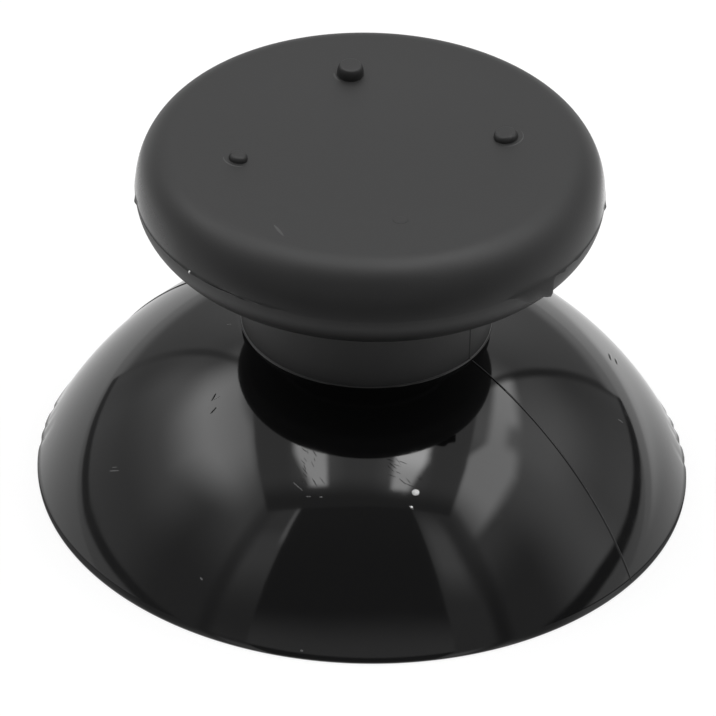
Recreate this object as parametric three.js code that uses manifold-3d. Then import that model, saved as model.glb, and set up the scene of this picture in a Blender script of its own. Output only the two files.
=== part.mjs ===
// Thumbstick cap of a game controller: a glossy hard skirt that covers the stick's
// gimbal, and a soft concave head moulded over the skirt's core post.
// Millimetres, +Z up. The cap stands on the flat rim of its skirt at z = 0, and its
// axis is the Z axis. The four raised pips of the head lie on the X and Y axes.

import * as THREE from 'three';
import { mergeVertices } from 'three/addons/utils/BufferGeometryUtils.js';
import Module from 'manifold-3d';

const wasm = await Module();
wasm.setup();

// Skirt: a shell between two spheres about one centre on the axis.
const rimRadius = 13.0;
const seatHeight = 7.34;
const skirtWall = 1.1;
const rimInnerChamfer = 0.3;
const ceilingRadius = 5.6;

// Boss under the crown, with the keyed socket that goes over the stick's shaft.
const bossRadius = 3.3;
const bossDraft = 0.12;
const bossMouthHeight = 0.9;
const bossRootFillet = 0.45;
const socketDiameter = 4.1;
const socketAcrossFlats = 3.1;
const socketDepth = 5.6;
const socketLeadIn = 0.3;
const gussetThickness = 0.9;
const gussetDrop = 1.45;
const gussetReach = 8.2;

// Core post that rises from the crown, with the flange that locks the head on.
const coreRadius = 3.4;
const flangeRadius = 6.4;
const flangeThickness = 1.1;
const flangeCover = 0.7;

// Head: a neck sleeve round the core post, and a dished disc.
const bondGap = 0.05;
const neckRadius = 4.94;
const neckFillet = 0.4;
const undersideHeight = 11.5;
const undersideFlatRadius = 7.09;
const partingHeight = 13.4;
const discRadius = 9.155;
const crestHeight = 15.47;
const crestRadius = 7.65;
const dishDepth = 0.42;
const dishSphereRadius = 50.0;
const dishSphereReach = 5.3;

// Pips on the dish: the far one is the tallest, the two at the sides are lower, and
// the near one is only a trace. Each has a flat top with a soft edge.
const pipCircleRadius = 5.25;
const pips = [
  { turnDeg: 0, radius: 0.48, height: 0.24 },
  { turnDeg: 90, radius: 0.53, height: 0.45 },
  { turnDeg: 180, radius: 0.37, height: 0.22 },
  { turnDeg: 270, radius: 0.32, height: 0.05 },
];
const pipEdge = 0.14;
const pipRoot = 0.3;

// Facets: steps round the axis, and steps along each curve of a profile.
const roundSteps = 72;
const skirtSteps = 14;
const hollowSteps = 10;
const edgeSteps = 7;
const dishSteps = 7;
const crestSteps = 5;
const filletSteps = 3;
const pipRoundSteps = 18;
const pipCurveSteps = 4;

// How far a cutting tool runs past the face that it opens.
const cutOverrun = 0.5;

// The outer sphere passes through the rim circle and the edge of the seat, so its
// centre and radius follow from those two circles.
const sphereCentreZ =
  (neckRadius ** 2 + seatHeight ** 2 - rimRadius ** 2) / (2 * seatHeight);
const outerSphere = Math.hypot(rimRadius, sphereCentreZ);
const innerSphere = outerSphere - skirtWall;
const ceilingHeight = sphereCentreZ + Math.sqrt(innerSphere ** 2 - ceilingRadius ** 2);
const crownThickness = seatHeight - ceilingHeight;

const flangeUnderside = undersideHeight + flangeCover;
const flangeTop = flangeUnderside + flangeThickness;
const dishFloor = crestHeight - dishDepth;

const degrees = THREE.MathUtils.radToDeg;
const radians = THREE.MathUtils.degToRad;

function point(radius, height) {
  return new THREE.Vector2(radius, height);
}

// Points along part of an ellipse in the profile plane, with both of its ends.
function arc(centre, radiusAcross, radiusUp, fromDeg, toDeg, steps) {
  const clockwise = toDeg < fromDeg;
  const curve = new THREE.EllipseCurve(
    centre.x, centre.y, radiusAcross, radiusUp, radians(fromDeg), radians(toDeg), clockwise);
  return curve.getPoints(steps);
}

// Angle above the horizontal, at the sphere centre, of a point on a sphere.
function sphereAngle(sphereRadius, radius) {
  return degrees(Math.acos(radius / sphereRadius));
}

// A profile of (radius, height) points, turned about the Z axis. The profile runs
// with the material on its left.
function turned(profile, steps = roundSteps) {
  return toSolid(new THREE.LatheGeometry(profile, steps).rotateX(Math.PI / 2));
}

// A closed geometry becomes a solid once its shared corners are one vertex each and
// the collapsed triangles at the axis are left out.
function toSolid(geometry) {
  geometry.deleteAttribute('normal');
  geometry.deleteAttribute('uv');
  const welded = mergeVertices(geometry);
  const corners = welded.index.array;
  const triangles = [];
  for (let i = 0; i < corners.length; i += 3) {
    const [a, b, c] = corners.subarray(i, i + 3);
    if (a !== b && b !== c && c !== a) triangles.push(a, b, c);
  }
  return new wasm.Manifold(new wasm.Mesh({
    numProp: 3,
    vertProperties: new Float32Array(welded.attributes.position.array),
    triVerts: new Uint32Array(triangles),
  }));
}

function toMesh(name, solid, material) {
  const { vertProperties, triVerts } = solid.getMesh();
  const geometry = new THREE.BufferGeometry();
  geometry.setAttribute('position', new THREE.BufferAttribute(vertProperties, 3));
  geometry.setIndex(new THREE.BufferAttribute(triVerts, 1));
  geometry.computeVertexNormals();
  const mesh = new THREE.Mesh(geometry, material);
  mesh.name = name;
  return mesh;
}

// Boss, hollow, rim, dome, seat, core post and flange are one turned profile.
function turnedBase() {
  const centre = point(0, sphereCentreZ);
  const bossRoot = bossRadius + bossDraft;
  const filletCentre = point(bossRoot + bossRootFillet, ceilingHeight - bossRootFillet);
  const hollowRimRadius = Math.sqrt(innerSphere ** 2 - (rimInnerChamfer - sphereCentreZ) ** 2);
  return turned([
    point(0, bossMouthHeight),
    point(bossRadius, bossMouthHeight),
    ...arc(filletCentre, bossRootFillet, bossRootFillet, 180, 90, filletSteps),
    ...arc(centre, innerSphere, innerSphere,
      sphereAngle(innerSphere, ceilingRadius), sphereAngle(innerSphere, hollowRimRadius), hollowSteps),
    point(hollowRimRadius + rimInnerChamfer, 0),
    ...arc(centre, outerSphere, outerSphere,
      sphereAngle(outerSphere, rimRadius), sphereAngle(outerSphere, neckRadius), skirtSteps),
    point(coreRadius, seatHeight),
    point(coreRadius, flangeUnderside),
    point(flangeRadius, flangeUnderside),
    point(flangeRadius, flangeTop),
    point(0, flangeTop),
  ]);
}

// Four thin gussets brace the boss against the crown, between the X and Y axes. Each
// is a sloping slab, and its top ends halfway through the crown and the skirt's wall.
function gussets() {
  const centre = point(0, sphereCentreZ);
  const midSphere = outerSphere - skirtWall / 2;
  const midCrown = seatHeight - crownThickness / 2;
  const midCrownRadius = Math.sqrt(midSphere ** 2 - (midCrown - sphereCentreZ) ** 2);
  const envelope = turned([
    point(0, 0),
    ...arc(centre, midSphere, midSphere,
      degrees(Math.asin(-sphereCentreZ / midSphere)),
      sphereAngle(midSphere, midCrownRadius), skirtSteps),
    point(0, midCrown),
  ]);
  const reachHeight = sphereCentreZ + Math.sqrt(innerSphere ** 2 - gussetReach ** 2);
  const bossMiddle = (bossRadius + socketDiameter / 2) / 2;
  const side = new THREE.Shape([
    point(bossMiddle, ceilingHeight - gussetDrop),
    point(gussetReach, reachHeight),
    point(gussetReach, seatHeight),
    point(bossMiddle, seatHeight),
  ]);
  const slab = toSolid(new THREE.ExtrudeGeometry(side, { depth: gussetThickness, bevelEnabled: false })
    .translate(0, 0, -gussetThickness / 2)
    .rotateX(Math.PI / 2));
  const ribs = [45, 135, 225, 315].map((turnDeg) => slab.rotate([0, 0, turnDeg]).intersect(envelope));
  return ribs.reduce((all, rib) => all.add(rib));
}

// The socket is a round hole with two flats, open downwards, with a cone at its mouth
// that leads the shaft in past the flats.
function socket() {
  const holeRadius = socketDiameter / 2;
  const halfFlat = socketAcrossFlats / 2;
  const flatAngle = Math.asin(halfFlat / holeRadius);
  const outline = new THREE.Shape();
  outline.absarc(0, 0, holeRadius, -flatAngle, flatAngle, false);
  outline.absarc(0, 0, holeRadius, Math.PI - flatAngle, Math.PI + flatAngle, false);
  const hole = toSolid(new THREE.ExtrudeGeometry(outline, {
    depth: socketDepth + cutOverrun,
    curveSegments: 10,
    bevelEnabled: false,
  }).translate(0, 0, bossMouthHeight - cutOverrun));
  const coneMouth = holeRadius + socketLeadIn;
  const cone = turned([
    point(0, bossMouthHeight - cutOverrun),
    point(coneMouth + cutOverrun, bossMouthHeight - cutOverrun),
    point(halfFlat, bossMouthHeight + coneMouth - halfFlat),
    point(0, bossMouthHeight + coneMouth - halfFlat),
  ]);
  return hole.add(cone);
}

// Sleeve, underside, rounded edge, crest and dish are one turned profile, and the
// cavity in it follows the core post and its flange.
function turnedHead() {
  const lowerEdge = point(undersideFlatRadius, partingHeight);
  const upperEdge = point(crestRadius, partingHeight);
  const filletCentre = point(neckRadius + neckFillet, undersideHeight - neckFillet);
  const dishCentre = point(0, dishFloor + dishSphereRadius);
  const dishEdgeDeg = sphereAngle(dishSphereRadius, dishSphereReach);
  const dishEdge = arc(dishCentre, dishSphereRadius, dishSphereRadius,
    -dishEdgeDeg, -90, dishSteps);
  // The crest runs into the dish along a curve that is level at the crest and in
  // line with the dish where it meets it.
  const slope = dishSphereReach / Math.sqrt(dishSphereRadius ** 2 - dishSphereReach ** 2);
  const tangentRadius = dishSphereReach + (crestHeight - dishEdge[0].y) / slope;
  const crest = new THREE.QuadraticBezierCurve(
    point(crestRadius, crestHeight), point(tangentRadius, crestHeight), dishEdge[0]);
  return turned([
    point(0, flangeTop + bondGap),
    point(flangeRadius + bondGap, flangeTop + bondGap),
    point(flangeRadius + bondGap, flangeUnderside - bondGap),
    point(coreRadius + bondGap, flangeUnderside - bondGap),
    point(coreRadius + bondGap, seatHeight),
    point(neckRadius, seatHeight),
    ...arc(filletCentre, neckFillet, neckFillet, 180, 90, filletSteps),
    ...arc(lowerEdge, discRadius - undersideFlatRadius, partingHeight - undersideHeight,
      -90, 0, edgeSteps),
    ...arc(upperEdge, discRadius - crestRadius, crestHeight - partingHeight, 0, 90, edgeSteps),
    ...crest.getPoints(crestSteps),
    ...dishEdge,
  ]);
}

// A pip is a short stud that stands square to the dish, with its root inside the head.
// A quarter of an ellipse takes its side over into its flat top.
function pip({ turnDeg, radius, height }) {
  const stud = new THREE.LatheGeometry([
    point(0, -pipRoot),
    point(radius, -pipRoot),
    ...arc(point(radius - pipEdge, 0), pipEdge, height, 0, 90, pipCurveSteps),
    point(0, height),
  ], pipRoundSteps).rotateX(Math.PI / 2);
  const lean = Math.asin(pipCircleRadius / dishSphereRadius);
  const surface = dishFloor + dishSphereRadius * (1 - Math.cos(lean));
  stud.rotateY(-lean).translate(pipCircleRadius, 0, surface).rotateZ(radians(turnDeg));
  return toSolid(stud);
}

const glossPlastic = new THREE.MeshStandardMaterial({
  name: 'gloss_black_plastic', color: 0x1b1b1d, roughness: 0.12, metalness: 0,
});
const softGrip = new THREE.MeshStandardMaterial({
  name: 'matte_black_grip', color: 0x38383a, roughness: 0.62, metalness: 0,
});

const base = turnedBase().add(gussets()).subtract(socket());
const head = pips.reduce((solid, each) => solid.add(pip(each)), turnedHead());

const cap = new THREE.Group();
cap.add(toMesh('skirt_base', base, glossPlastic));
cap.add(toMesh('grip_head', head, softGrip));

export default cap;
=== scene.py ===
# %% [markdown]
# # A thumbstick cap in a light tent
#
# This lesson builds a game controller's thumbstick cap: a glossy black skirt, and a soft satin head
# that is moulded round the skirt's core post. The construction model is loaded as a fixed frame, and
# the two mouldings are then modelled again with a much finer surface, in the same place.

# %% Load the construction model
from math import acos, asin, atan2, cos, degrees, exp, hypot, pi, radians, sin, sqrt
from random import Random

import bmesh
import bpy
from mathutils import Matrix, Vector
from mathutils.bvhtree import BVHTree


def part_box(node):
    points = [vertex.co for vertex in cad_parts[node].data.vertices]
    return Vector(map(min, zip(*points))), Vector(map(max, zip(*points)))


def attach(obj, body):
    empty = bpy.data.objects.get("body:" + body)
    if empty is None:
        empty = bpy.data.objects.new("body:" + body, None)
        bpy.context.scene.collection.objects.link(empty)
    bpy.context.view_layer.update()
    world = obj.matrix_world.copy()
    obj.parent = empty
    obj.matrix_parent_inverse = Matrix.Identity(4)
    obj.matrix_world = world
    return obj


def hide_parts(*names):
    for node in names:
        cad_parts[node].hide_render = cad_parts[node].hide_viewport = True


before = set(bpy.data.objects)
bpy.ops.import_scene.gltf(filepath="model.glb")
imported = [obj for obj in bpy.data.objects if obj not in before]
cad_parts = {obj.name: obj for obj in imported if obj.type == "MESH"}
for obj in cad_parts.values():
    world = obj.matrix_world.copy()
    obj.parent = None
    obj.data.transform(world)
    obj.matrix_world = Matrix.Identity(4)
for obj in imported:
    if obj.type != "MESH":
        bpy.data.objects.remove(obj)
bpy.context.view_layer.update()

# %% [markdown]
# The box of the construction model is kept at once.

MM = 0.001
base_low, base_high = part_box("skirt_base")
head_low, head_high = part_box("grip_head")
print("skirt is", round((base_high.x - base_low.x) / MM, 2), "mm across")
print("head is", round((head_high.x - head_low.x) / MM, 2), "mm across")

# %% [markdown]
# ## The camera
#
# The view looks down at the cap at 35 degrees, through a very long lens, so that the round outlines
# stay nearly true ellipses. The pips of the head lie on the X and Y axes, and the photograph was
# taken a little to one side of them. A small roll tilts the rim by the same amount as in the picture.

# %% Place the camera
LOOK_DOWN = radians(35.12)
LOOK_TURN = radians(-10.7)
ROLL = radians(1.64)
CAMERA_DISTANCE = 260 * MM
LOOK_AT = Vector((-0.284, 0, 5.26)) * MM
PICTURE_PIXELS = 716
FOCAL_PIXELS = 6560

camera_data = bpy.data.cameras.new("photo_camera")
camera_data.sensor_fit = "HORIZONTAL"
camera_data.sensor_width = 36
camera_data.lens = camera_data.sensor_width * FOCAL_PIXELS / PICTURE_PIXELS
camera_data.clip_start = 0.01
camera = bpy.data.objects.new("photo_camera", camera_data)
bpy.context.scene.collection.objects.link(camera)
camera.matrix_world = (
    Matrix.Rotation(LOOK_TURN, 4, "Z")
    @ Matrix.Translation(LOOK_AT)
    @ Matrix.Rotation(pi / 2 - LOOK_DOWN, 4, "X")
    @ Matrix.Rotation(ROLL, 4, "Z")
    @ Matrix.Translation((0, 0, CAMERA_DISTANCE))
)
bpy.context.scene.camera = camera
bpy.context.scene.view_settings.view_transform = "Standard"
print("lens is", round(camera_data.lens, 1), "mm")

# %% [markdown]
# ## Small tools for node trees
#
# The materials and the light tent are built from a few kinds of node. One class keeps a tree and
# adds to it: `calc` is a Math node, `rise` is a soft step from 0 to 1, `fall` is one from 1 to 0,
# `band` is a soft window between two values, `both` is where several masks meet, and `mix` fades from
# one number to another.


# %% A helper that writes node trees
class Nodes:
    def __init__(self, tree):
        self.tree = tree
        tree.nodes.clear()

    def add(self, kind, inputs=None, **settings):
        node = self.tree.nodes.new(kind)
        for name, value in settings.items():
            setattr(node, name, value)
        for name, value in (inputs or {}).items():
            self.plug(node.inputs[name], value)
        return node

    def plug(self, socket, value):
        if isinstance(value, bpy.types.NodeSocket):
            self.tree.links.new(value, socket)
        else:
            socket.default_value = value

    def calc(self, operation, *values):
        node = self.add("ShaderNodeMath", operation=operation)
        for socket, value in zip(node.inputs, values):
            self.plug(socket, value)
        return node.outputs[0]

    def rise(self, value, low, high):
        inputs = {"Value": value, "From Min": low, "From Max": high}
        return self.add("ShaderNodeMapRange", inputs, interpolation_type="SMOOTHSTEP").outputs["Result"]

    def fall(self, value, low, high):
        return self.calc("SUBTRACT", 1.0, self.rise(value, low, high))

    def band(self, value, low, high, blur):
        up = self.rise(value, low - blur, low + blur)
        return self.calc("MULTIPLY", up, self.fall(value, high - blur, high + blur))

    def both(self, *masks):
        product = masks[0]
        for mask in masks[1:]:
            product = self.calc("MULTIPLY", product, mask)
        return product

    def mix(self, below, above, mask):
        node = self.add("ShaderNodeMix", data_type="FLOAT")
        for place, value in ((2, below), (3, above), (0, mask)):
            self.plug(node.inputs[place], value)
        return node.outputs[0]


print("node tools are ready")

# %% [markdown]
# ## The light tent
#
# A polished black dome is nearly a mirror ball: what shows on it is the room. The cap stands in a
# small light tent with white cloth walls, and the dome shows all of it: a white ground sheet, two
# strip lamps under the roof, a pool of lamp light high on each side wall, and the dark opening in
# front that the camera looks through.
#
# Real walls would get in the way of other views, so the tent is a world shader. For each direction
# it works out where a ray from the cap meets a box, and paints the brightness of that spot. Lengths
# are counted in half the tent's width: `across` is to the right, `along` is away from the camera and
# `up` is up. The tent is square to the camera apart from two degrees. Its front wall is a little
# nearer on the right than on the left, and its back wall leans.

# %% Find where a ray meets the tent
TENT_TURN = LOOK_TURN - radians(2)
TENT_ROOF = 1.66
# each pair: on the left, on the right
TENT_FRONT = (0.87, 0.81)
TENT_BACK = (1.2, 1.37)
BACK_LEAN = (0.1, 0.29)

world = bpy.data.worlds.new("light_tent")
world.use_nodes = True
bpy.context.scene.world = world
tent = Nodes(world.node_tree)
toward = tent.add("ShaderNodeTexCoord").outputs["Generated"]
turned = tent.add("ShaderNodeMapping", {"Vector": toward, "Rotation": (0, 0, -TENT_TURN)})
parts = tent.add("ShaderNodeSeparateXYZ", {"Vector": turned.outputs["Vector"]})
ray_x, ray_y, ray_z = (parts.outputs[axis] for axis in "XYZ")
is_right = tent.calc("GREATER_THAN", ray_x, 0.0)
is_front = tent.calc("LESS_THAN", ray_y, 0.0)

to_sides = tent.calc("ABSOLUTE", ray_x)
front_gap = tent.mix(*TENT_FRONT, tent.rise(ray_x, -0.3, 0.3))
to_front = tent.calc("DIVIDE", tent.calc("MULTIPLY", ray_y, -1.0), front_gap)
back_lean = tent.calc("MULTIPLY", ray_z, tent.mix(*BACK_LEAN, is_right))
to_back = tent.calc("DIVIDE", tent.calc("ADD", ray_y, back_lean), tent.mix(*TENT_BACK, is_right))
to_back = tent.mix(to_back, 0.0, is_front)
to_ends = tent.calc("MAXIMUM", to_front, to_back)
to_walls = tent.calc("MAXIMUM", to_sides, to_ends)
to_roof = tent.calc("DIVIDE", ray_z, TENT_ROOF)
to_tent = tent.calc("MAXIMUM", to_walls, to_roof)
across, along, up = (tent.calc("DIVIDE", ray, to_tent) for ray in (ray_x, ray_y, ray_z))

EDGE_BLUR = 0.01
is_roof = tent.rise(tent.calc("SUBTRACT", to_roof, to_walls), -EDGE_BLUR, EDGE_BLUR)
is_side = tent.rise(tent.calc("SUBTRACT", to_sides, to_ends), -EDGE_BLUR, EDGE_BLUR)
print("tent has", len(world.node_tree.nodes), "nodes so far")

# %% [markdown]
# Each wall now gets its brightness, where 1 is white cloth in full light. A lamp outside shines on
# the upper part of each side wall and makes a bright pool there. Below the pool the cloth falls off
# to grey. A pool is a product of soft steps, one for each of its edges. The two numbers of a soft
# step are the places where it starts and ends, and a pair of brightnesses belongs to the same places.

# %% Paint the left wall
LEFT_CLOTH = (0.62, 1.32)
LEFT_CLOTH_BEHIND = (0.48, 0.85)
LEFT_CLOTH_IN_FRONT = (0.36, 1.0)
LEFT_LAMP = (4.0, 3.0)
left_cloth = tent.mix(*LEFT_CLOTH, tent.rise(up, 0.3, 0.75))
left_behind = tent.mix(*LEFT_CLOTH_BEHIND, tent.rise(up, 0.3, 0.9))
left_cloth = tent.mix(left_cloth, left_behind, tent.rise(along, 0.7, 1.05))
left_dim = tent.mix(*LEFT_CLOTH_IN_FRONT, tent.rise(up, 0.42, 1.3))
left_cloth = tent.mix(left_dim, left_cloth, tent.rise(along, -0.4, 0.05))
sag = tent.calc("MULTIPLY", tent.calc("MINIMUM", tent.calc("SUBTRACT", along, 0.1), 0.0), 0.6)
far_end = tent.calc("SUBTRACT", along, tent.calc("MULTIPLY", tent.calc("SUBTRACT", up, 0.9), 0.55))
left_pool = tent.both(
    tent.rise(tent.calc("ADD", up, sag), 0.56, 1.04),
    tent.rise(along, -0.75, 0.02),
    tent.fall(far_end, 0.42, 0.92),
    tent.fall(tent.calc("ADD", up, tent.mix(0.0, 0.12, tent.rise(along, 0.1, 0.5))), 1.5, 1.76),
)
left_lamp = tent.mix(*LEFT_LAMP, tent.rise(up, 1.0, TENT_ROOF))
left_wall = tent.mix(left_cloth, left_lamp, left_pool)
print("left wall is painted")

# %% [markdown]
# The right wall has a sharper pool, and a wide glow below it that is brighter near its top. The
# cloth sags in a fold behind, so the pool's upper edge steps down there.

# %% Paint the right wall
RIGHT_CLOTH = (0.37, 0.45)
RIGHT_CLOTH_LIFT = (-0.02, 0.42)
GLOW_LOW = (1.16, 0.8)
GLOW_HIGH = (1.25, 1.6)
RIGHT_LAMP = (3.75, 4.2)
FOLD_SHADE = 1.9
right_cloth = tent.mix(*RIGHT_CLOTH, tent.rise(along, 0.3, 0.9))
right_cloth = tent.calc("ADD", right_cloth, tent.mix(*RIGHT_CLOTH_LIFT, tent.rise(up, 0.5, 1.0)))
glow_low = tent.mix(*GLOW_LOW, tent.rise(along, 0.05, 0.35))
glow_high = tent.mix(*GLOW_HIGH, tent.rise(along, -0.02, 0.25))
right_glow = tent.both(tent.rise(along, -0.42, 0.05), tent.fall(along, 0.35, 1.15))
glow = tent.mix(glow_low, glow_high, tent.rise(up, 0.3, 0.75))
right_cloth = tent.mix(right_cloth, glow, right_glow)
droop = tent.calc("MULTIPLY", tent.calc("ABSOLUTE", along), 0.2)
step = tent.mix(0.0, 0.25, tent.rise(along, -0.1, 0.2))
right_pool = tent.both(
    tent.rise(tent.calc("SUBTRACT", up, droop), 0.89, 1.05),
    tent.rise(along, -0.85, -0.3),
    tent.fall(tent.calc("ADD", up, step), 1.58, 1.74),
)
right_lamp = tent.mix(*RIGHT_LAMP, tent.rise(along, 0.15, 0.6))
fold = tent.both(tent.band(along, 0.2, 0.42, 0.08), tent.fall(up, 1.08, 1.25))
right_lamp = tent.mix(right_lamp, FOLD_SHADE, fold)
right_wall = tent.mix(right_cloth, right_lamp, right_pool)
side_wall = tent.mix(left_wall, right_wall, is_right)
print("right wall is painted")

# %% [markdown]
# The front wall is the side that the camera looks through, so most of it is a dark opening between
# two flaps, over a low sill. The left flap has a bright hem, and the right one catches a patch of
# lamp light. The back wall is plain cloth with a glow in its middle, and it is brightest near the roof.

# %% Paint the front and the back wall
LEFT_FLAP = (0.36, 0.92)
LEFT_FLAP_TOP = 0.7
RIGHT_FLAP = (0.45, 1.2)
FLAP_FOOT = 0.45
HEM = 1.9
SILL = 0.6
OPENING = (0.155, 0.2)
BACK_CLOTH = (0.5, 0.74)
BACK_GLOW = 1.0
BACK_TOP = 2.3
left_flap = tent.mix(*LEFT_FLAP, tent.rise(up, 0.4, 0.95))
left_flap = tent.mix(left_flap, LEFT_FLAP_TOP, tent.rise(up, 1.1, 1.35))
patch = tent.both(
    tent.fall(tent.calc("ABSOLUTE", tent.calc("SUBTRACT", across, 0.695)), 0.04, 0.22),
    tent.rise(up, 0.5, 0.9),
    tent.fall(up, 1.1, 1.75),
)
right_flap = tent.mix(*RIGHT_FLAP, patch)
flaps = tent.mix(left_flap, right_flap, is_right)
hem = tent.both(tent.band(across, -0.635, -0.59, 0.015), tent.band(up, 1.1, TENT_ROOF, 0.1))
flaps = tent.mix(flaps, HEM, hem)
view_out = tent.mix(SILL, tent.mix(*OPENING, tent.rise(up, 0.7, 1.6)), tent.rise(up, 0.24, 0.5))
opening = tent.band(across, -0.588, 0.545, 0.012)
low_front = tent.fall(up, 0.2, 0.36)
front_wall = tent.mix(tent.mix(flaps, FLAP_FOOT, low_front), view_out, opening)

back_wall = tent.mix(*BACK_CLOTH, tent.rise(up, 0.2, 0.9))
back_glow = tent.both(tent.rise(up, 0.1, 0.9), tent.fall(tent.calc("ABSOLUTE", across), 0.4, 0.95))
back_wall = tent.mix(back_wall, BACK_GLOW, back_glow)
back_wall = tent.mix(back_wall, BACK_TOP, tent.rise(up, 1.0, 1.6))
end_wall = tent.mix(back_wall, front_wall, is_front)
walls = tent.mix(end_wall, side_wall, is_side)
print("end walls are painted")

# %% [markdown]
# Where two walls meet, the tent's corner is a dark line, wide in front and narrow at the back.

# %% Darken the corners
# each pair: on the left, on the right
FRONT_CORNERS = (0.26, 0.18)
BACK_CORNERS = (0.42, 0.22)
FRONT_CORNER_TOP = 0.5
FRONT_CORNER_WIDTHS = (0.11, 0.13)
BACK_CORNER_WIDTH = 0.045
front_corner = tent.mix(tent.mix(*FRONT_CORNERS, is_right), FRONT_CORNER_TOP, tent.rise(up, 0.3, 1.3))
back_corner = tent.mix(*BACK_CORNERS, is_right)
corner_shade = tent.mix(back_corner, front_corner, is_front)
corner_width = tent.mix(BACK_CORNER_WIDTH, tent.mix(*FRONT_CORNER_WIDTHS, is_right), is_front)
from_corner = tent.calc("ABSOLUTE", tent.calc("SUBTRACT", to_sides, to_ends))
in_corner = tent.fall(tent.calc("DIVIDE", from_corner, corner_width), 0.1, 1.0)
in_corner = tent.calc("MULTIPLY", in_corner, tent.mix(1.0, 0.8, tent.rise(up, 0.7, 1.4)))
in_corner = tent.calc("MULTIPLY", in_corner, tent.rise(up, 0.0, 0.12))
walls = tent.mix(walls, corner_shade, in_corner)
print("corners are dark")

# %% [markdown]
# The roof carries the two strip lamps, which shine through it. They narrow towards the front, and the
# right one is brighter. At the foot of the side walls the ground sheet ends just short of the cloth
# and leaves a dark gap. At the back the sheet runs up the wall in a soft curve. The camera itself sees
# plain white beyond the floor, and so does light that passes through something clear.

# %% Paint the roof and the foot of the walls
ROOF_CLOTH = (0.88, 1.3)
ROOF_SIDES = 0.74
ROOF_FRONT = 0.3
LEFT_STRIP = 6.0
RIGHT_STRIP = (6.4, 9.5)
beside = tent.calc("ABSOLUTE", across)
roof = tent.mix(*ROOF_CLOTH, tent.band(beside, 0.2, 0.5, 0.12))
roof = tent.mix(roof, ROOF_SIDES, tent.rise(beside, 0.6, 0.7))
roof = tent.mix(ROOF_FRONT, roof, tent.rise(along, -0.76, -0.46))
slant = tent.mix(0.12, 0.0, tent.rise(along, -0.62, -0.2))
strips = tent.both(
    tent.rise(beside, 0.27, 0.33),
    tent.fall(tent.calc("ADD", beside, slant), 0.55, 0.64),
    tent.rise(along, -0.65, -0.58),
    tent.fall(along, 0.57, 0.61),
)
right_strip = tent.mix(*RIGHT_STRIP, tent.rise(along, -0.47, -0.22))
roof = tent.mix(roof, tent.mix(LEFT_STRIP, right_strip, is_right), strips)
tent_light = tent.mix(walls, roof, is_roof)

GROUND = 0.88
GAP_SHADES = (0.2, 0.1)
LEFT_GAP_HALF = 0.026
RIGHT_GAP_HALF = (0.042, 0.032)
LEFT_FOOT = 0.06
LEFT_FOOT_CLIMBS = 0.11
LEFT_CLIMB_STARTS = 0.32
RIGHT_FOOT = 0.122
RIGHT_FOOT_FALLS = 0.085
behind = tent.calc("MAXIMUM", along, 0.0)
before = tent.calc("MAXIMUM", tent.calc("SUBTRACT", LEFT_CLIMB_STARTS, along), 0.0)
left_foot = tent.calc("ADD", LEFT_FOOT, tent.calc("MULTIPLY", before, LEFT_FOOT_CLIMBS))
right_foot = tent.calc("SUBTRACT", RIGHT_FOOT, tent.calc("MULTIPLY", behind, RIGHT_FOOT_FALLS))
foot = tent.mix(left_foot, right_foot, is_right)
right_gap_half = tent.mix(*RIGHT_GAP_HALF, tent.rise(along, -0.1, 0.4))
gap_half = tent.mix(LEFT_GAP_HALF, right_gap_half, is_right)
gap_shade = tent.mix(*GAP_SHADES, is_right)
from_gap = tent.calc("DIVIDE", tent.calc("SUBTRACT", up, foot), gap_half)
side_foot = tent.mix(tent_light, gap_shade, tent.fall(tent.calc("ABSOLUTE", from_gap), 0.6, 1.5))
side_foot = tent.mix(side_foot, GROUND, tent.fall(from_gap, -1.6, -0.7))
back_foot = tent.mix(tent_light, GROUND, tent.fall(up, 0.06, 0.2))
end_foot = tent.mix(back_foot, tent_light, is_front)
tent_light = tent.mix(end_foot, side_foot, is_side)

path = tent.add("ShaderNodeLightPath")
sees_white = tent.calc("MAXIMUM", path.outputs["Is Camera Ray"], path.outputs["Is Transmission Ray"])
tent_light = tent.mix(tent_light, 1.0, sees_white)
background = tent.add("ShaderNodeBackground", {"Strength": tent_light})
tent.add("ShaderNodeOutputWorld", {"Surface": background.outputs["Background"]})
print("tent has", len(world.node_tree.nodes), "nodes")

# %% [markdown]
# ## The floor
#
# The ground sheet is a large plane. It scatters light like white paper for the object's sake. For the
# camera it is a plain white glow, with a share of scattered light in it that keeps the soft shadow of
# the cap. In front of the cap the sheet is painted dark: a painted shadow of the camera and the
# photographer, which the camera never sees, but the side of the head does. Behind on the right lies
# a patch of lamp light, which shows only as a reflection low on the dome.

# %% Make the floor
FLOOR_HALF = 1.5
SHEET_WHITE = 1.02
SHADOW_SHARE = 0.3
# painted shadow: in front of the cap the sheet darkens to this tone, in place of the shadow of the
# camera and the photographer
PAINTED_SHADOW_STARTS = (10 * MM, 36 * MM)
PAINTED_SHADOW_TONE = 0.13
LIT_PATCH = (26 * MM, 22 * MM, 0)
LIT_PATCH_FADES = (4 * MM, 22 * MM)
LIT_PATCH_GLOW = 1.35

floor_mesh = bmesh.new()
bmesh.ops.create_grid(floor_mesh, x_segments=1, y_segments=1, size=FLOOR_HALF)
floor_data = bpy.data.meshes.new("floor")
floor_mesh.to_mesh(floor_data)
floor_mesh.free()
floor = bpy.data.objects.new("floor", floor_data)
bpy.context.scene.collection.objects.link(floor)

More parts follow.
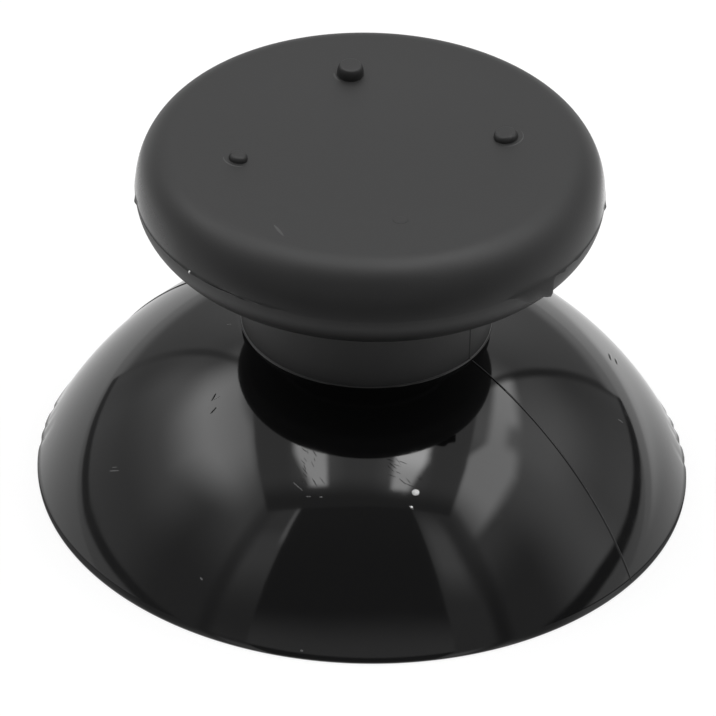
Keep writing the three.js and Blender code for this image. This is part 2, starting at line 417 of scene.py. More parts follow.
floor_material = bpy.data.materials.new("white_ground_sheet")
floor_material.use_nodes = True
sheet = Nodes(floor_material.node_tree)
sheet_place = sheet.add("ShaderNodeTexCoord").outputs["Object"]
sheet_turned = sheet.add("ShaderNodeMapping", {"Vector": sheet_place, "Rotation": (0, 0, -TENT_TURN)})
sheet_parts = sheet.add("ShaderNodeSeparateXYZ", {"Vector": sheet_turned.outputs["Vector"]})
in_front = sheet.calc("MULTIPLY", sheet_parts.outputs["Y"], -1.0)
# the paper's colour and its reflected glow both carry the painted shadow in front of the cap
tone = sheet.mix(GROUND, PAINTED_SHADOW_TONE, sheet.rise(in_front, *PAINTED_SHADOW_STARTS))
to_patch = sheet.add("ShaderNodeVectorMath", operation="DISTANCE")
sheet.plug(to_patch.inputs[0], sheet_turned.outputs["Vector"])
sheet.plug(to_patch.inputs[1], LIT_PATCH)
lit = sheet.fall(to_patch.outputs["Value"], *LIT_PATCH_FADES)
paper = sheet.add("ShaderNodeBsdfDiffuse", {"Color": tone})
mirrored = sheet.add("ShaderNodeEmission", {"Strength": sheet.mix(tone, LIT_PATCH_GLOW, lit)})
shade = sheet.add("ShaderNodeBsdfDiffuse", {"Color": (SHADOW_SHARE, SHADOW_SHARE, SHADOW_SHARE, 1)})
glow = sheet.add("ShaderNodeEmission", {"Strength": SHEET_WHITE - SHADOW_SHARE})
seen = sheet.add("ShaderNodeAddShader")
sheet.plug(seen.inputs[0], shade.outputs["BSDF"])
sheet.plug(seen.inputs[1], glow.outputs["Emission"])


def choose(nodes, below, above, mask):
    node = nodes.add("ShaderNodeMixShader", {"Fac": mask})
    nodes.plug(node.inputs[1], below)
    nodes.plug(node.inputs[2], above)
    return node.outputs["Shader"]


sheet_path = sheet.add("ShaderNodeLightPath").outputs
in_mirror = sheet_path["Is Glossy Ray"]
sheet_look = choose(sheet, paper.outputs["BSDF"], mirrored.outputs["Emission"], in_mirror)
to_eye = sheet.calc("MAXIMUM", sheet_path["Is Camera Ray"], sheet_path["Is Transmission Ray"])
sheet_look = choose(sheet, sheet_look, seen.outputs["Shader"], to_eye)
sheet.add("ShaderNodeOutputMaterial", {"Surface": sheet_look})
floor_data.materials.append(floor_material)
print("floor is", 2 * FLOOR_HALF, "m wide")

# %% [markdown]
# ## The two finishes
#
# The skirt is black plastic from a polished mould. Nearly all its look is reflection, so its base
# colour is close to black and its roughness is low, with patches where handling has dulled it.

# %% Make the glossy plastic
PLASTIC_IOR = 1.5
GLOSS_BLACK = (0.004, 0.004, 0.0042, 1)
CLEAN_ROUGHNESS = 0.05
HAZY_ROUGHNESS = 0.075
SCUFFED_ROUGHNESS = 0.13
HAZE_SIZE = 2.5 * MM
SCUFF_SIZE = 0.35 * MM
SCUFF_STRETCH = (1, 1, 0.12)
WAVE_SIZE = 1.8 * MM
WAVE_HEIGHT = 0.002 * MM


def new_material(name):
    material = bpy.data.materials.new(name)
    material.use_nodes = True
    return material, Nodes(material.node_tree)


def finish_material(nodes, colour, roughness, **more):
    inputs = {"Base Color": colour, "Roughness": roughness, **more}
    shader = nodes.add("ShaderNodeBsdfPrincipled", inputs)
    nodes.add("ShaderNodeOutputMaterial", {"Surface": shader.outputs["BSDF"]})


def noise(nodes, where, size, detail=2.0, stretch=(1, 1, 1)):
    scaled = nodes.add("ShaderNodeMapping", {"Vector": where, "Scale": stretch})
    inputs = {"Vector": scaled.outputs["Vector"], "Scale": 1 / size, "Detail": detail}
    return nodes.add("ShaderNodeTexNoise", inputs).outputs["Fac"]


def bump(nodes, height, distance):
    inputs = {"Height": height, "Distance": distance, "Strength": 1.0}
    return nodes.add("ShaderNodeBump", inputs).outputs["Normal"]


gloss_plastic, gloss = new_material("gloss_black_plastic")
gloss_place = gloss.add("ShaderNodeTexCoord").outputs["Object"]
hazy = gloss.rise(noise(gloss, gloss_place, HAZE_SIZE, 3.0), 0.45, 0.7)
scuffed = gloss.rise(noise(gloss, gloss_place, SCUFF_SIZE, 4.0, SCUFF_STRETCH), 0.62, 0.75)
gloss_rough = gloss.mix(CLEAN_ROUGHNESS, HAZY_ROUGHNESS, hazy)
gloss_rough = gloss.mix(gloss_rough, SCUFFED_ROUGHNESS, gloss.both(hazy, scuffed))
gloss_wave = bump(gloss, noise(gloss, gloss_place, WAVE_SIZE), WAVE_HEIGHT)
finish_material(gloss, GLOSS_BLACK, gloss_rough, IOR=PLASTIC_IOR, Normal=gloss_wave)
print("gloss plastic has", len(gloss_plastic.node_tree.nodes), "nodes")

# %% [markdown]
# The head is a soft compound with a satin face. It needs a wide, weak highlight, a very fine grain
# and a little mottling, because moulded rubber is never quite even. Left and right on its edge the
# skin is smoother, with faint streaks, and it catches the light at a grazing angle.

# %% Make the soft grip
GRIP_COLOURS = ((0.012, 0.012, 0.0122, 1), (0.016, 0.016, 0.0162, 1))
GRIP_ROUGHNESS = (0.44, 0.52)
MOTTLE_SIZE = 1.6 * MM
GRAIN_SIZE = 0.09 * MM
GRAIN_HEIGHT = 0.003 * MM
STREAK_SIZE = 0.12 * MM
STREAK_STRETCH = (1, 1, 0.5)
SMOOTH_ROUGHNESS = (0.08, 0.2)
# the smoother skin: the heights between which it comes in and goes out, and how far from the middle
SMOOTH_FROM = (13.35 * MM, 13.45 * MM)
SMOOTH_TO = (13.8 * MM, 15 * MM)
SMOOTH_SIDES = (7.9 * MM, 8.9 * MM)
soft_grip, soft = new_material("satin_black_grip")
soft_place = soft.add("ShaderNodeTexCoord").outputs["Object"]
mottle = noise(soft, soft_place, MOTTLE_SIZE, 3.0)
grain = noise(soft, soft_place, GRAIN_SIZE, 2.0)
soft_colour = soft.add("ShaderNodeMix", {"Factor": mottle}, data_type="RGBA")
soft_colour.inputs[6].default_value, soft_colour.inputs[7].default_value = GRIP_COLOURS
soft_rough = soft.mix(*GRIP_ROUGHNESS, mottle)
soft_parts = soft.add("ShaderNodeSeparateXYZ", {"Vector": soft_place}).outputs
on_edge = soft.both(soft.rise(soft_parts["Z"], *SMOOTH_FROM), soft.fall(soft_parts["Z"], *SMOOTH_TO))
at_sides = soft.rise(soft.calc("ABSOLUTE", soft_parts["X"]), *SMOOTH_SIDES)
streaks = noise(soft, soft_place, STREAK_SIZE, 3.0, STREAK_STRETCH)
smoother = soft.mix(*SMOOTH_ROUGHNESS, soft.rise(streaks, 0.25, 0.75))
soft_rough = soft.mix(soft_rough, smoother, soft.both(on_edge, at_sides))
soft_normal = bump(soft, grain, GRAIN_HEIGHT)
finish_material(soft, soft_colour.outputs[2], soft_rough, IOR=PLASTIC_IOR, Normal=soft_normal)
print("soft grip has", len(soft_grip.node_tree.nodes), "nodes")

# %% [markdown]
# ## Turning a profile
#
# Both mouldings are round, so each is one outline turned about the Z axis. The outline is a chain of
# vertices in the XZ plane, `spin` sweeps it once round, and the vertices that meet on the axis are
# welded. Arcs are worked out from their centre, so the outlines follow the same sizes as the
# construction model.

# %% Helpers for turned shapes
WELD = 0.0001 * MM
FILLET_STEPS = 8
ROUND_STEPS = 6


def arc(centre, radius_across, radius_up, start, end, steps):
    angles = [radians(start + (end - start) * i / steps) for i in range(steps + 1)]
    return [(centre[0] + radius_across * cos(a), centre[1] + radius_up * sin(a)) for a in angles]


def turn(profile, steps):
    shape = bmesh.new()
    chain = [shape.verts.new((radius, 0, height)) for radius, height in profile]
    edges = [shape.edges.new(ends) for ends in zip(chain, chain[1:])]
    bmesh.ops.spin(
        shape, geom=chain + edges, cent=(0, 0, 0), axis=(0, 0, 1), dvec=(0, 0, 0),
        angle=2 * pi, steps=steps, use_merge=True, use_duplicate=False,
    )
    bmesh.ops.remove_doubles(shape, verts=shape.verts, dist=WELD)
    bmesh.ops.recalc_face_normals(shape, faces=shape.faces)
    return shape


def finish_piece(name, shape, material, sharp=35):
    bmesh.ops.recalc_face_normals(shape, faces=shape.faces)
    data = bpy.data.meshes.new(name)
    shape.to_mesh(data)
    shape.free()
    data.materials.append(material)
    data.shade_smooth()
    data.set_sharp_from_angle(angle=radians(sharp))
    piece = bpy.data.objects.new(name, data)
    bpy.context.scene.collection.objects.link(piece)
    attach(piece, "root")
    print(name, "has", len(data.polygons), "faces")
    return piece


print("turning tools are ready")

# %% [markdown]
# ## The skirt
#
# The skirt is a shell between two spheres about one point on the axis. The outer sphere passes
# through the rim and through the foot of the neck, which gives its centre and its radius. The flat
# ring at its top is the seat of the neck, and the core post rises from it into the head. A small
# fillet of glossy plastic runs round the neck's foot, and near it the dome is eased a hair lower.
# The rim has a few small nicks from handling.

# %% Sizes of the skirt
RIM_RADIUS = base_high.x
SEAT_HEIGHT = head_low.z
SKIRT_WALL = 1.1 * MM
RIM_ROUND = 0.07 * MM
RIM_CHAMFER = 0.3 * MM
FOOT_FILLET = 0.09 * MM
FOOT_GAP = 0.003 * MM
CROWN_EASE = 0.014 * MM
CROWN_REACH = 1.6 * MM
CEILING_RADIUS = 5.6 * MM
NECK_RADIUS = 4.94 * MM
CORE_RADIUS = 3.4 * MM
FLANGE_RADIUS = 6.4 * MM
FLANGE_THICKNESS = 1.1 * MM
FLANGE_TOP = base_high.z

SPHERE_CENTRE = (NECK_RADIUS**2 + SEAT_HEIGHT**2 - RIM_RADIUS**2) / (2 * SEAT_HEIGHT)
OUTER_SPHERE = hypot(RIM_RADIUS, SPHERE_CENTRE)
INNER_SPHERE = OUTER_SPHERE - SKIRT_WALL
CEILING = SPHERE_CENTRE + sqrt(INNER_SPHERE**2 - CEILING_RADIUS**2)
print("dome radius is", round(OUTER_SPHERE / MM, 2), "mm")


def sphere_angle(sphere, radius):
    return degrees(acos(radius / sphere))


# %% [markdown]
# Under the crown hangs the boss. Its keyed socket is a round hole with two flats. It starts from the
# open loop that the turned outline leaves at the boss's mouth: the loop is extruded up a cone to the
# socket's outline, then straight up, and closed with a floor.

# %% Model the skirt, the boss and the socket
BOSS_RADIUS = 3.3 * MM
BOSS_DRAFT = 0.12 * MM
BOSS_MOUTH = 0.9 * MM
BOSS_FILLET = 0.45 * MM
SOCKET_RADIUS = 4.1 / 2 * MM
SOCKET_HALF_FLAT = 3.1 / 2 * MM
SOCKET_DEPTH = 5.6 * MM
SOCKET_LEAD_IN = 0.3 * MM
SKIRT_STEPS = 360
DOME_STEPS = 90
HOLLOW_STEPS = 40
DOME_INSET = 0.4 * RIM_ROUND
NEVER_ZERO = 0.001
NICK_TOP = 1.2 * MM
RIM_NICKS = [
    # angle round the axis, half its width in degrees, depth
    (155.3, 0.9, 0.07 * MM),
    (161.3, 0.7, 0.05 * MM),
    (165.4, 1.3, 0.06 * MM),
    (7.2, 0.8, 0.06 * MM),
    (2.7, 0.8, 0.07 * MM),
    (-1.8, 0.9, 0.08 * MM),
    (-7.8, 0.8, 0.05 * MM),
]


def crown_drop(radius):
    inside = max(0.0, 1 - (radius - NECK_RADIUS) / CROWN_REACH)
    return CROWN_EASE * inside**2


def skirt_profile():
    centre = (0, SPHERE_CENTRE)
    root = BOSS_RADIUS + BOSS_DRAFT
    hollow_rim = sqrt(INNER_SPHERE**2 - (RIM_CHAMFER - SPHERE_CENTRE) ** 2)
    lowest = sphere_angle(OUTER_SPHERE, RIM_RADIUS - DOME_INSET)
    highest = sphere_angle(OUTER_SPHERE, NECK_RADIUS + FOOT_FILLET)
    dome = arc(centre, OUTER_SPHERE, OUTER_SPHERE, lowest, highest, DOME_STEPS)
    dome = [(radius, height - crown_drop(radius)) for radius, height in dome if height > RIM_ROUND]
    foot_centre = (dome[-1][0], dome[-1][1] + FOOT_FILLET)
    boss_centre = (root + BOSS_FILLET, CEILING - BOSS_FILLET)
    return [
        (SOCKET_RADIUS + SOCKET_LEAD_IN, BOSS_MOUTH),
        (BOSS_RADIUS, BOSS_MOUTH),
        *arc(boss_centre, BOSS_FILLET, BOSS_FILLET, 180, 90, FILLET_STEPS),
        *arc(centre, INNER_SPHERE, INNER_SPHERE, sphere_angle(INNER_SPHERE, CEILING_RADIUS),
             sphere_angle(INNER_SPHERE, hollow_rim), HOLLOW_STEPS),
        (hollow_rim + RIM_CHAMFER, 0),
        *arc((RIM_RADIUS - RIM_ROUND, RIM_ROUND), RIM_ROUND, RIM_ROUND, -90, 20, ROUND_STEPS),
        *dome,
        *arc(foot_centre, FOOT_FILLET - FOOT_GAP, FOOT_FILLET, 260, 180, ROUND_STEPS),
        (NECK_RADIUS + FOOT_GAP, SEAT_HEIGHT),
        (CORE_RADIUS, SEAT_HEIGHT),
        (CORE_RADIUS, FLANGE_TOP - FLANGE_THICKNESS),
        (FLANGE_RADIUS, FLANGE_TOP - FLANGE_THICKNESS),
        (FLANGE_RADIUS, FLANGE_TOP),
        (0, FLANGE_TOP),
    ]


def cut_socket(shape):
    mouth_loop = [edge for edge in shape.edges if edge.is_boundary]
    cone_mouth = SOCKET_RADIUS + SOCKET_LEAD_IN
    cone = bmesh.ops.extrude_edge_only(shape, edges=mouth_loop)["geom"]
    for corner in (item for item in cone if isinstance(item, bmesh.types.BMVert)):
        out_of_flat = abs(corner.co.y) / cone_mouth
        reach = min(SOCKET_RADIUS, SOCKET_HALF_FLAT / max(out_of_flat, NEVER_ZERO))
        corner.co.xy *= reach / cone_mouth
        corner.co.z = BOSS_MOUTH + cone_mouth - reach
    key_loop = [item for item in cone if isinstance(item, bmesh.types.BMEdge)]
    wall = bmesh.ops.extrude_edge_only(shape, edges=key_loop)["geom"]
    for corner in (item for item in wall if isinstance(item, bmesh.types.BMVert)):
        corner.co.z = BOSS_MOUTH + SOCKET_DEPTH
    floor_loop = [item for item in wall if isinstance(item, bmesh.types.BMEdge)]
    bmesh.ops.holes_fill(shape, edges=floor_loop, sides=0)


skirt_shape = turn(skirt_profile(), SKIRT_STEPS)
cut_socket(skirt_shape)
for corner in skirt_shape.verts:
    if corner.co.xy.length > RIM_RADIUS - SKIRT_WALL / 2 and corner.co.z < NICK_TOP:
        angle = degrees(atan2(corner.co.y, corner.co.x))
        depth = sum(deep * exp(-(((angle - at) / half) ** 2)) for at, half, deep in RIM_NICKS)
        corner.co.xy *= 1 - depth * (1 - corner.co.z / NICK_TOP) / RIM_RADIUS
open_edges = sum(edge.is_boundary for edge in skirt_shape.edges)
print("open edges left in the skirt:", open_edges)
skirt_surface = BVHTree.FromBMesh(skirt_shape)
skirt = finish_piece("skirt", skirt_shape, gloss_plastic)
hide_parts("skirt_base")

# %% [markdown]
# Four thin gussets brace the boss against the crown. Each starts as its side outline, one flat face,
# which is extruded to its thickness. Its top runs inside the skirt's wall, so the joint is closed.

# %% Model the gussets
GUSSET_THICKNESS = 0.9 * MM
GUSSET_DROP = 1.45 * MM
GUSSET_REACH = 8.2 * MM
GUSSET_ROUND = 0.08 * MM


def gusset_outline():
    middle = OUTER_SPHERE - SKIRT_WALL / 2
    crown_middle = (SEAT_HEIGHT + CEILING) / 2
    crown_radius = sqrt(middle**2 - (crown_middle - SPHERE_CENTRE) ** 2)
    root = (BOSS_RADIUS + SOCKET_RADIUS) / 2
    inside_wall = SPHERE_CENTRE + sqrt(INNER_SPHERE**2 - GUSSET_REACH**2)
    return [
        (root, CEILING - GUSSET_DROP),
        (GUSSET_REACH, inside_wall),
        *arc((0, SPHERE_CENTRE), middle, middle,
             sphere_angle(middle, GUSSET_REACH), sphere_angle(middle, crown_radius), FILLET_STEPS),
        (root, crown_middle),
    ]


gusset_shape = bmesh.new()
for quarter in range(4):
    corners = [gusset_shape.verts.new((x, -GUSSET_THICKNESS / 2, z)) for x, z in gusset_outline()]
    side = gusset_shape.faces.new(corners)
    pushed = bmesh.ops.extrude_face_region(gusset_shape, geom=[side])["geom"]
    moved = [item for item in pushed if isinstance(item, bmesh.types.BMVert)]
    bmesh.ops.translate(gusset_shape, verts=moved, vec=(0, GUSSET_THICKNESS, 0))
    around = Matrix.Rotation(radians(45 + 90 * quarter), 3, "Z")
    bmesh.ops.rotate(gusset_shape, verts=corners + moved, cent=(0, 0, 0), matrix=around)
bmesh.ops.bevel(
    gusset_shape, geom=gusset_shape.edges[:], offset=GUSSET_ROUND, segments=2,
    profile=0.5, affect="EDGES", material=-1,
)
finish_piece("boss_gussets", gusset_shape, gloss_plastic)

# %% [markdown]
# ## The head
#
# Neck, underside, rounded edge, crest and dish are again one outline. The dish is part of a large
# sphere, and the crest runs into it along a curve that is level at its top. The two halves of the
# mould met at the widest circle of the disc. The outline has four points there, which become a thin
# lip and a groove under it in the next step.

# %% Sizes of the head
DISC_RADIUS = head_high.x
BOND_GAP = 0.05 * MM
NECK_FILLET = 0.4 * MM
UNDERSIDE = 11.5 * MM
UNDERSIDE_FLAT = 7.09 * MM
PARTING = 13.4 * MM
CREST_RADIUS = 7.65 * MM
CREST = 15.47 * MM
DISH_DEPTH = 0.42 * MM
DISH_SPHERE = 50 * MM
DISH_REACH = 5.3 * MM
LIP_HALF = 0.018 * MM
GROOVE_WIDTH = 0.07 * MM
HEAD_STEPS = 320
EDGE_STEPS = 32
CREST_STEPS = 24
DISH_STEPS = 48


def crest_curve(start, control, end, steps):
    points = []
    for i in range(steps + 1):
        t = i / steps
        pulls = [(start, (1 - t) ** 2), (control, 2 * t * (1 - t)), (end, t**2)]
        points.append(tuple(sum(weight * point[axis] for point, weight in pulls) for axis in (0, 1)))
    return points


def head_profile():
    dish_centre = (0, CREST - DISH_DEPTH + DISH_SPHERE)
    dish_edge = degrees(acos(DISH_REACH / DISH_SPHERE))
    dish = arc(dish_centre, DISH_SPHERE, DISH_SPHERE, -dish_edge, -90, DISH_STEPS)
    slope = DISH_REACH / sqrt(DISH_SPHERE**2 - DISH_REACH**2)
    tangent = DISH_REACH + (CREST - dish[0][1]) / slope
    flange_low = FLANGE_TOP - FLANGE_THICKNESS
    below = (DISC_RADIUS - UNDERSIDE_FLAT, PARTING - UNDERSIDE)
    above = (DISC_RADIUS - CREST_RADIUS, CREST - PARTING)
    lower = arc((UNDERSIDE_FLAT, PARTING), *below, -90, 0, EDGE_STEPS)
    upper = arc((CREST_RADIUS, PARTING), *above, 0, 90, EDGE_STEPS)
    neck_centre = (NECK_RADIUS + NECK_FILLET, UNDERSIDE - NECK_FILLET)
    return [
        (0, FLANGE_TOP + BOND_GAP),
        (FLANGE_RADIUS + BOND_GAP, FLANGE_TOP + BOND_GAP),
        (FLANGE_RADIUS + BOND_GAP, flange_low - BOND_GAP),
        (CORE_RADIUS + BOND_GAP, flange_low - BOND_GAP),
        (CORE_RADIUS + BOND_GAP, SEAT_HEIGHT),
        (NECK_RADIUS, SEAT_HEIGHT),
        *arc(neck_centre, NECK_FILLET, NECK_FILLET, 180, 90, FILLET_STEPS),
        *lower[:-1],
        (DISC_RADIUS, PARTING - GROOVE_WIDTH),
        (DISC_RADIUS, PARTING - GROOVE_WIDTH / 2),
        (DISC_RADIUS, PARTING),
        (DISC_RADIUS, PARTING + LIP_HALF),
        *upper[1:],
        *crest_curve((CREST_RADIUS, CREST), (tangent, CREST), dish[0], CREST_STEPS)[1:],
        *dish[1:],
    ]


print("dish is", round(DISH_DEPTH / MM, 2), "mm deep")

# %% [markdown]
# The parting line is not even. At the sides and behind it is a hair-thin lip with a groove below it,
# which shows as a dark line. In front it was wiped smooth. In a few places the rubber crept between
# the mould's halves and left a fin of flash, and the largest one stands out as a tooth. Each fin is
# a smooth swelling of the lip at its own angle, and a dent is a swelling inwards. Thin rubber droops,
# so a fin hangs down by nearly as much as it stands out.

# %% Model the head with its parting line
LIP_HEIGHT = 0.012 * MM
GROOVE_DEPTH = 0.05 * MM
SAME_HEIGHT = 0.1 * LIP_HALF
WIPED_MIDDLE = -94
WIPED_HALF = 38
WIPED_BLUR = 6
DROOP = 0.8
FLASH = [
    # angle round the axis, half its width in degrees, height (a dent has a negative one)
    (-54, 2.8, 0.46 * MM),
    (-59.5, 2.8, 0.38 * MM),
    (-46.5, 1.0, 0.09 * MM),
    (-40, 4.0, 0.05 * MM),
    (-136, 1.6, -0.05 * MM),
    (-148, 5.0, 0.05 * MM),
    (178, 1.5, 0.07 * MM),
    (-16, 1.4, 0.06 * MM),
    (-125, 3.0, 0.04 * MM),
]


def away_from(angle, centre):
    return (angle - centre + 180) % 360 - 180


def sharpness(angle):
    beyond = abs(away_from(angle, WIPED_MIDDLE)) - WIPED_HALF
    return min(1, max(0, beyond / WIPED_BLUR + 0.5))


def flash_height(angle):
    return sum(
        amount * exp(-((away_from(angle, centre) / half_width) ** 2))
        for centre, half_width, amount in FLASH
    )


def move_out(corner, distance):
    radius = corner.co.xy.length
    corner.co.xy *= (radius + distance) / radius


head_shape = turn(head_profile(), HEAD_STEPS)
outer_corners = [corner for corner in head_shape.verts if corner.co.xy.length > UNDERSIDE_FLAT]
for corner in outer_corners:
    angle = degrees(atan2(corner.co.y, corner.co.x))
    if abs(corner.co.z - PARTING) < SAME_HEIGHT:
        flash = flash_height(angle)
        move_out(corner, LIP_HEIGHT * sharpness(angle) + flash)
        corner.co.z -= DROOP * max(flash, 0)
    if abs(corner.co.z - PARTING + GROOVE_WIDTH / 2) < SAME_HEIGHT:
        move_out(corner, -GROOVE_DEPTH * sharpness(angle))
head_surface = BVHTree.FromBMesh(head_shape)
head = finish_piece("head", head_shape, soft_grip, sharp=50)
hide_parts("grip_head")

# %% [markdown]
# ## The pips
#
# Four raised pips give the thumb its grip. They are short studs with a flat top and a soft edge. The
# far one is the tallest, the two at the sides are lower, and the near one is only a trace. A pip
# stands square to the dish, so it is turned upright and then leant towards the middle of the dish.

# %% Model the pips
PIP_ROOT = 0.3 * MM
PIP_EDGE = 0.15 * MM
PIP_STEPS = 48
PIP_EDGE_STEPS = 12
PIPS = {
    # name: angle round the axis, distance from it, radius, height
    "pip_right": (-0.9, 5.29 * MM, 0.48 * MM, 0.24 * MM),
    "pip_far": (89.3, 5.23 * MM, 0.53 * MM, 0.44 * MM),
    "pip_left": (-177.9, 5.26 * MM, 0.37 * MM, 0.22 * MM),
    "pip_near": (-87.6, 5.23 * MM, 0.3 * MM, 0.03 * MM),
}


def pip_profile(radius, height):
    return [
        (0, -PIP_ROOT),
        (radius, -PIP_ROOT),
        *arc((radius - PIP_EDGE, 0), PIP_EDGE, height, 0, 90, PIP_EDGE_STEPS),
        (0, height),
    ]


def stand_on_dish(shape, angle, distance):
    lean = asin(distance / DISH_SPHERE)
    surface = CREST - DISH_DEPTH + DISH_SPHERE * (1 - cos(lean))
    place = (
        Matrix.Rotation(radians(angle), 4, "Z")
        @ Matrix.Translation((distance, 0, surface))
        @ Matrix.Rotation(-lean, 4, "Y")
    )
    bmesh.ops.transform(shape, matrix=place, verts=shape.verts)


for name, (angle, distance, radius, height) in PIPS.items():
    pip_shape = turn(pip_profile(radius, height), PIP_STEPS)
    stand_on_dish(pip_shape, angle, distance)
    finish_piece(name, pip_shape, soft_grip, sharp=60)

# %% [markdown]
# ## Small marks
#
# Three of the pips have a low ridge in the shape of a crescent beside them, where the mould's pin
# sat. The dish has a scratch, and the dome carries a few ticks. All of them are made the same way: a
# narrow grid follows a route seen from above, each corner drops straight down onto the surface, and
# the middle of the strip is then lifted along the surface's normal. Towards both ends the strip gets
# narrower and sinks under the skin.

# %% A helper that lays a ridge on a surface
MARK_SINK = 0.008 * MM
END_WIDTH = 0.3
A_BIT = 0.01
STRIP_STEPS = 24
STRIP_ROWS = 6
ABOVE_HEAD = 20 * MM
ABOVE_DOME = 9 * MM
DOWN = Vector((0, 0, -1))


def polar(angle, distance):
    return Vector((cos(radians(angle)), sin(radians(angle)))) * distance


def straight(start, end):
    return lambda t: start.lerp(end, t)


def round_about(centre, radius, start, end):
    return lambda t: centre + polar(start + (end - start) * t, radius)


def drop_on_head(spot):
    return head_surface.ray_cast(Vector((*spot, ABOVE_HEAD)), DOWN)[:2]


def drop_on_dome(spot):
    return skirt_surface.ray_cast(Vector((*spot, ABOVE_DOME)), DOWN)[:2]


def flat_strip(shape, steps):
    return bmesh.ops.create_grid(shape, x_segments=steps, y_segments=STRIP_ROWS, size=1)["verts"]


def lay_ridge(shape, drop, route, half_width, height):
    for corner in flat_strip(shape, STRIP_STEPS):
        t = (corner.co.x + 1) / 2
        taper = sin(pi * t) ** 0.5 if 0 < t < 1 else 0
        ahead = route(t + A_BIT) - route(t - A_BIT)
        sideways = Vector((-ahead.y, ahead.x)).normalized() * half_width * corner.co.y
        hit, normal = drop(route(t) + sideways * (END_WIDTH + (1 - END_WIDTH) * taper))
        raised = (height + MARK_SINK) * cos(corner.co.y * pi / 2) * taper - MARK_SINK
        corner.co = hit + normal * raised


def finish_marks(name, shape, material, thickness=MARK_SINK):
    bmesh.ops.recalc_face_normals(shape, faces=shape.faces)
    bmesh.ops.solidify(shape, geom=shape.faces[:], thickness=thickness)
    finish_piece(name, shape, material, sharp=80)


def grey_material(name, grey, roughness):
    material, nodes = new_material(name)
    finish_material(nodes, (grey, grey, grey, 1), roughness)
    return material


print("ridges can be laid")

# %% [markdown]
# The crescents stand a little off their pips, each on the side where it shows in the photograph. Their
# pale colour is a painted highlight, for the light that the ridges catch. The scratch is rubbed, so it
# is paler than the rest of the grip too.

# %% Model the marks on the head
CRESCENTS = {
    # pip: radius, start and end angle round the pip, half width
    "pip_far": (0.64 * MM, 166, 228, 0.06 * MM),
    "pip_left": (0.57 * MM, 158, 288, 0.045 * MM),
    "pip_right": (0.68 * MM, 240, 392, 0.035 * MM),
}
PALE_HEIGHT = 0.01 * MM
SCRATCH_HALF_WIDTH = 0.085 * MM
SCRATCH_ENDS = (polar(-132.9, 6.85 * MM), polar(-126.4, 7.4 * MM))
# painted highlight on the crescents: their pale colour stands for light caught on the ridges; on the
# scratch it is wear
pale_scuff_and_highlight_grip = grey_material("pale_scuff_and_highlight_grip", 0.05, 0.5)
crescents = bmesh.new()
for name, (radius, start, end, half_width) in CRESCENTS.items():
    angle, distance, _, _ = PIPS[name]
    route = round_about(polar(angle, distance), radius, start, end)
    lay_ridge(crescents, drop_on_head, route, half_width, PALE_HEIGHT)
finish_marks("pip_crescents", crescents, pale_scuff_and_highlight_grip)

scratch = bmesh.new()
lay_ridge(scratch, drop_on_head, straight(*SCRATCH_ENDS), SCRATCH_HALF_WIDTH, PALE_HEIGHT)
finish_marks("dish_scratch", scratch, pale_scuff_and_highlight_grip)

# %% [markdown]
# On the dome a tick is pale where the plastic is scuffed through its gloss, and dark where it is only
# dented. A low swelling stands in for a dent, because it breaks the reflection in the same way. Fine
# wiping marks lie where the strip lamps are reflected. Two specks of white dust sit beside those
# reflections, and a third one is caught on the parting line of the head.

# %% Model the marks on the dome
scuffed_plastic = grey_material("scuffed_plastic", 0.1, 0.4)
white_dust = grey_material("white_dust", 0.9, 0.9)

PALE_TICK_HEIGHT = 0.006 * MM
DARK_TICK_HEIGHT = 0.03 * MM
WIPE_HEIGHT = 0.005 * MM
PALE_TICKS = [
    # from: angle, distance; to: angle, distance; half width; all lengths in mm
    (-164.3, 11.11, -161.4, 10.85, 0.028),
    (-164.2, 10.99, -162.6, 10.83, 0.018),
    (-152.6, 7.08, -153.7, 7.42, 0.022),
    (-150.5, 7.45, -150.4, 7.8, 0.02),
    (-131.8, 11.93, -130.9, 11.97, 0.035),
    (-118.7, 8.77, -114.9, 9.03, 0.03),
    (-114.4, 9.16, -112.8, 9.13, 0.03),
    (-111.1, 9.11, -110.1, 9.1, 0.035),
    (-89.4, 9.3, -88.2, 9.45, 0.06),
    (-21.1, 10.19, -20.5, 10.45, 0.035),
    (175.3, 5.55, 176.7, 5.28, 0.03),
    (-110.6, 12.84, -109.9, 12.84, 0.03),
]
DARK_TICKS = [
    (-154.9, 7.13, -153.8, 7.44, 0.045),
    (-150.8, 7.49, -150.7, 7.8, 0.04),
    (0.2, 10.0, 3.8, 10.1, 0.09),
    (0.6, 10.28, 3.6, 10.36, 0.08),
]
WIPE_SEED = 4
WIPE_MARKS_IN_AREA = 16
WIPE_AREAS = [
    # middle: angle, distance in mm
    (-114.5, 8.2),
    (-88.8, 8.35),
]
# how far a mark lies from the middle of its area, in degrees and in mm
WIPE_TURN = 4.2
WIPE_SHIFT = 0.6
# half the length of a mark, outwards in mm and round the axis in degrees, and half its width in mm
WIPE_REACH = (0.05, 0.17)
WIPE_SLANT = (0.3, 1.5)
WIPE_HALF_WIDTH = (0.015, 0.03)
SPECKS = [
    # angle, distance and radius in mm
    (-87.2, 8.93, 0.15),
    (-88.7, 9.36, 0.05),
]
SPECK_FLATNESS = 0.7
CAUGHT_SPECK_ANGLE = -148.6
CAUGHT_SPECK_RADIUS = 0.06 * MM


def lay_ticks(name, ticks, material, height):
    shape = bmesh.new()
    for start_angle, start, end_angle, end, half_width in ticks:
        route = straight(polar(start_angle, start * MM), polar(end_angle, end * MM))
        lay_ridge(shape, drop_on_dome, route, half_width * MM, height)
    finish_marks(name, shape, material)


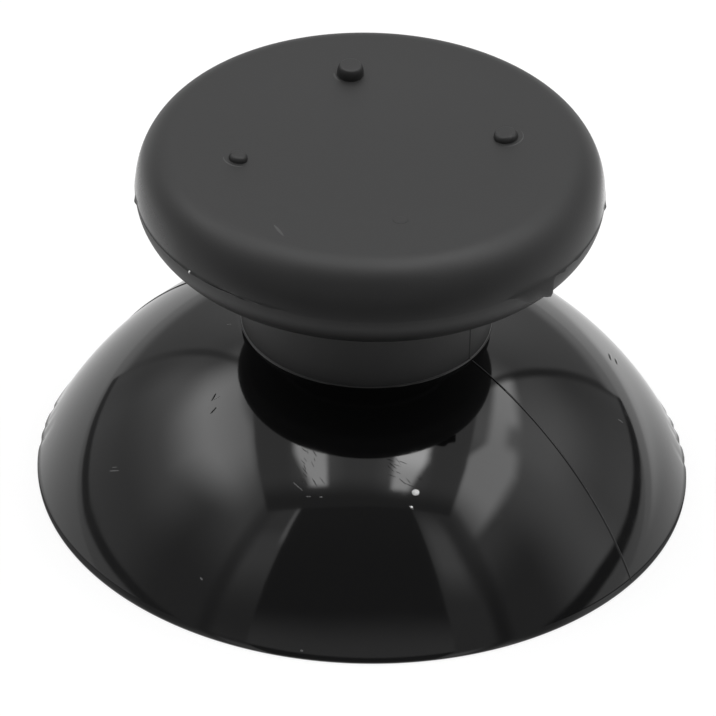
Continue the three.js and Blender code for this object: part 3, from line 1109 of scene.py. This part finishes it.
wiping = Random(WIPE_SEED)
wipe_marks = []
for middle_angle, middle in WIPE_AREAS:
    for _ in range(WIPE_MARKS_IN_AREA):
        angle = middle_angle + wiping.uniform(-WIPE_TURN, WIPE_TURN)
        distance = middle + wiping.uniform(-WIPE_SHIFT, WIPE_SHIFT)
        reach = wiping.uniform(*WIPE_REACH)
        slant = wiping.uniform(*WIPE_SLANT)
        half_width = wiping.uniform(*WIPE_HALF_WIDTH)
        wipe_marks.append((angle - slant, distance - reach, angle + slant, distance + reach, half_width))

lay_ticks("dome_scuffs", PALE_TICKS, scuffed_plastic, PALE_TICK_HEIGHT)
lay_ticks("dome_dents", DARK_TICKS, gloss_plastic, DARK_TICK_HEIGHT)
lay_ticks("dome_wiping", wipe_marks, gloss_plastic, WIPE_HEIGHT)

specks = bmesh.new()
for angle, distance, radius in SPECKS:
    hit, _ = drop_on_dome(polar(angle, distance * MM))
    place = Matrix.Translation(hit) @ Matrix.Diagonal((1, 1, SPECK_FLATNESS, 1))
    bmesh.ops.create_icosphere(specks, subdivisions=3, radius=radius * MM, matrix=place)
caught = Matrix.Translation((*polar(CAUGHT_SPECK_ANGLE, DISC_RADIUS), PARTING - GROOVE_WIDTH / 2))
bmesh.ops.create_icosphere(specks, subdivisions=3, radius=CAUGHT_SPECK_RADIUS, matrix=caught)
finish_piece("dust_specks", specks, white_dust, sharp=80)

# %% [markdown]
# ## The mould seam
#
# The side blocks of the mould closed on a plane halfway between the pips, and left a fine ridge down
# the neck and the dome. A ridge is a narrow grid, bent to lie along the surface, with its middle
# raised and its edges just under the skin, and a thin wall behind it.

# %% Model the seam
SEAM_ANGLES = (-45.2, 134.8)
SEAM_HALF_WIDTH = 0.062 * MM
SEAM_HEIGHT = 0.034 * MM
SEAM_SINK = 0.01 * MM
SEAM_STEPS = 120
SEAM_ABOVE_RIM = 0.6  # degrees round the dome's centre


def seam(name, path, material):
    shape = bmesh.new()
    for seam_angle in SEAM_ANGLES:
        strip = flat_strip(shape, SEAM_STEPS)
        for corner in strip:
            (radius, height), (out, up) = path((corner.co.x + 1) / 2)
            side = corner.co.y
            raised = (SEAM_HEIGHT + SEAM_SINK) * cos(side * pi / 2) - SEAM_SINK
            corner.co = (radius + out * raised, side * SEAM_HALF_WIDTH, height + up * raised)
        around = Matrix.Rotation(radians(seam_angle), 3, "Z")
        bmesh.ops.rotate(shape, verts=strip, cent=(0, 0, 0), matrix=around)
    finish_marks(name, shape, material, SEAM_SINK)


def down_dome(t):
    steepest = sphere_angle(OUTER_SPHERE, RIM_RADIUS) + SEAM_ABOVE_RIM
    shallowest = sphere_angle(OUTER_SPHERE, NECK_RADIUS + FOOT_FILLET)
    angle = radians(steepest + (shallowest - steepest) * t)
    out = (cos(angle), sin(angle))
    radius = OUTER_SPHERE * out[0]
    return (radius, SPHERE_CENTRE + OUTER_SPHERE * out[1] - crown_drop(radius)), out


def down_neck(t):
    top = UNDERSIDE - NECK_FILLET
    return (NECK_RADIUS, SEAT_HEIGHT + (top - SEAT_HEIGHT) * t), (1, 0)


seam("skirt_seam", down_dome, gloss_plastic)
seam("neck_seam", down_neck, soft_grip)
